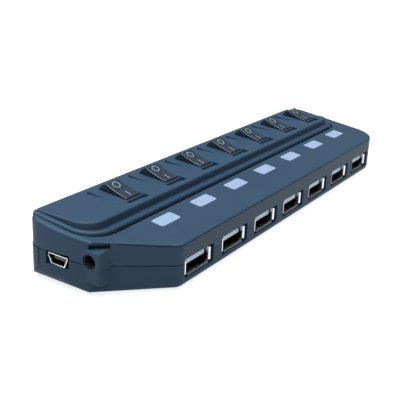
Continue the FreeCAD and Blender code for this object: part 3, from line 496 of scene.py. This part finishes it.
class HUB_OT_ports(bpy.types.Operator):
    """Plate the port shells and finish their tongues and contacts"""
    bl_idname = "hub.ports"
    bl_label = "Ports"

    def execute(self, context):
        looks = context.scene.hub_finishes
        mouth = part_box("usb_a_insert_1")[0].y
        # painted shade darkens the port shells and tongues deep inside their mouths
        paint(metal("port shell steel", looks.steel, 0.22, (1.0, 0.12, 1.0),
                    inside=inwards("Y", mouth, SHELL_SHADE)), *numbered("usb_a_shell"))
        paint(smooth_plastic("port tongue plastic", looks.tongue, 0.42,
                             inside=inwards("Y", mouth, TONGUE_SHADE)), *numbered("usb_a_insert"))
        paint(metal("contact gold", (0.83, 0.60, 0.26), 0.25, (1.0, 0.15, 1.0)), "usb_a_contacts")
        return {"FINISHED"}


class HUB_OT_inlets(bpy.types.Operator):
    """Finish the mini USB inlet and the power inlet"""
    bl_idname = "hub.inlets"
    bl_label = "Inlets"

    def execute(self, context):
        looks = context.scene.hub_finishes
        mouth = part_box("mini_usb_shell")[0].x
        # painted shade darkens the inlet shell deep inside its mouth
        paint(metal("inlet shell steel", looks.steel, 0.26, DRAWN_X,
                    inside=inwards("X", mouth, INLET_SHADE)), "mini_usb_shell")
        paint(smooth_plastic("inlet tongue plastic", (0.06, 0.07, 0.08), 0.5), "mini_usb_insert")
        paint(smooth_plastic("power inlet plastic", (0.008, 0.008, 0.010), 0.6), "power_jack_body")
        paint(metal("power pin plate", (0.70, 0.62, 0.50), 0.3, DRAWN_X), "power_jack_pin")
        paint(metal("power spring plate", (0.62, 0.62, 0.64), 0.35, DRAWN_X), "power_jack_spring")
        return {"FINISHED"}


class HUB_OT_board(bpy.types.Operator):
    """Finish the circuit board and what stands on it"""
    bl_idname = "hub.board"
    bl_label = "Circuit board"

    def execute(self, context):
        paint(smooth_plastic("board lacquer", (0.012, 0.075, 0.035), 0.32, 0.0006, 0.00001),
              "circuit_board")
        paint(smooth_plastic("chip resin", (0.012, 0.012, 0.013), 0.62), "hub_chips")
        paint(smooth_plastic("light lens", (0.72, 0.78, 0.86), 0.2), "indicator_leds")
        paint(metal("can aluminium", (0.74, 0.74, 0.76), 0.3, DRAWN_Z), "capacitors", "crystal")
        paint(metal("terminal plate", (0.70, 0.70, 0.70), 0.35, DRAWN_Z), "switch_terminals")
        return {"FINISHED"}


class HUB_OT_underside(bpy.types.Operator):
    """Finish the feet and the case screws"""
    bl_idname = "hub.underside"
    bl_label = "Feet and screws"

    def execute(self, context):
        paint(smooth_plastic("foot rubber", (0.014, 0.014, 0.015), 0.85, 0.0003, 0.00002),
              "rubber_feet")
        paint(metal("screw steel", (0.20, 0.20, 0.22), 0.4, (1.0, 1.0, 1.0)), "case_screws")
        return {"FINISHED"}


class HUB_OT_stage(bpy.types.Operator):
    """Set the pale floor, the soft light and the camera"""
    bl_idname = "hub.stage"
    bl_label = "Stage"

    def execute(self, context):
        scene = context.scene
        stage = scene.hub_stage
        world = bpy.data.worlds.new("room light")
        scene.world = world
        world.use_nodes = True
        sky = world.node_tree.nodes["Background"]
        sky.inputs["Color"].default_value = (*SKY_COLOUR, 1.0)
        sky.inputs["Strength"].default_value = stage.sky
        half = FLOOR_HALF
        mesh = bpy.data.meshes.new("floor")
        corners = [(-half, -half, 0), (half, -half, 0), (half, half, 0), (-half, half, 0)]
        mesh.from_pydata(corners, [], [(0, 1, 2, 3)])
        floor = bpy.data.objects.new("floor", mesh)
        scene.collection.objects.link(floor)
        pale = Finish("pale floor", Roughness=0.9, Specular_IOR_Level=0.1,
                      Emission_Color=FLOOR_GLOW, Emission_Strength=stage.lit)
        white = (1.0, 1.0, 1.0)
        pale.set(Base_Color=pale.mixed(pale.noise(FLOOR_CLOUD), tint(white, stage.floor * 0.98),
                                       tint(white, stage.floor)))
        mesh.materials.append(pale.material)
        lamp = bpy.data.lights.new("overhead", "SUN")
        lamp.energy = stage.key
        lamp.angle = KEY_SPREAD
        lamp.color = KEY_COLOUR
        holder = bpy.data.objects.new("overhead", lamp)
        holder.rotation_mode = "QUATERNION"
        holder.rotation_quaternion = Vector(KEY_AIM).to_track_quat("-Z", "Y")
        scene.collection.objects.link(holder)
        lens = bpy.data.cameras.new("camera")
        lens.lens = stage.lens
        lens.sensor_width = SENSOR
        lens.clip_start = NEAREST
        camera = bpy.data.objects.new("camera", lens)
        scene.collection.objects.link(camera)
        level = math.cos(stage.elevation)
        ahead = Vector((-math.sin(stage.azimuth) * level,
                        math.cos(stage.azimuth) * level, -math.sin(stage.elevation)))
        camera.location = stage.eye
        camera.rotation_mode = "QUATERNION"
        turn = Quaternion((0, 0, 1), stage.roll)
        camera.rotation_quaternion = ahead.to_track_quat("-Z", "Y") @ turn
        scene.camera = camera
        scene.view_settings.view_transform = "Standard"
        return {"FINISHED"}


# ---- add-on --------------------------------------------------------------

PIECES = (HUB_OT_case, HUB_OT_switches, HUB_OT_marks, HUB_OT_windows, HUB_OT_ports, HUB_OT_inlets,
          HUB_OT_board, HUB_OT_underside, HUB_OT_stage)


class HUB_PT_sidebar(bpy.types.Panel):
    """Lists the hub's pieces"""
    bl_idname = "HUB_PT_sidebar"
    bl_label = "USB Hub"
    bl_space_type = "VIEW_3D"
    bl_region_type = "UI"
    bl_category = "USB Hub"

    def draw(self, context):
        for piece in PIECES:
            self.layout.operator(piece.bl_idname)
        scene = context.scene
        for group in (scene.hub_finishes, scene.hub_marks, scene.hub_stage):
            for name in group.__annotations__:
                self.layout.prop(group, name)


GROUPS = {"hub_finishes": HubFinishes, "hub_marks": HubMarks, "hub_stage": HubStage}


def register():
    for group in (*GROUPS.values(), *PIECES, HUB_PT_sidebar):
        bpy.utils.register_class(group)
    for name, group in GROUPS.items():
        setattr(bpy.types.Scene, name, bpy.props.PointerProperty(type=group))


def unregister():
    for name in GROUPS:
        delattr(bpy.types.Scene, name)
    for group in (HUB_PT_sidebar, *PIECES, *GROUPS.values()):
        bpy.utils.unregister_class(group)


def main():
    register()
    bpy.ops.hub.case()
    bpy.ops.hub.switches()
    bpy.ops.hub.marks()
    bpy.ops.hub.windows()
    bpy.ops.hub.ports()
    bpy.ops.hub.inlets()
    bpy.ops.hub.board()
    bpy.ops.hub.underside()
    bpy.ops.hub.stage()


if __name__ == "__main__":
    main()
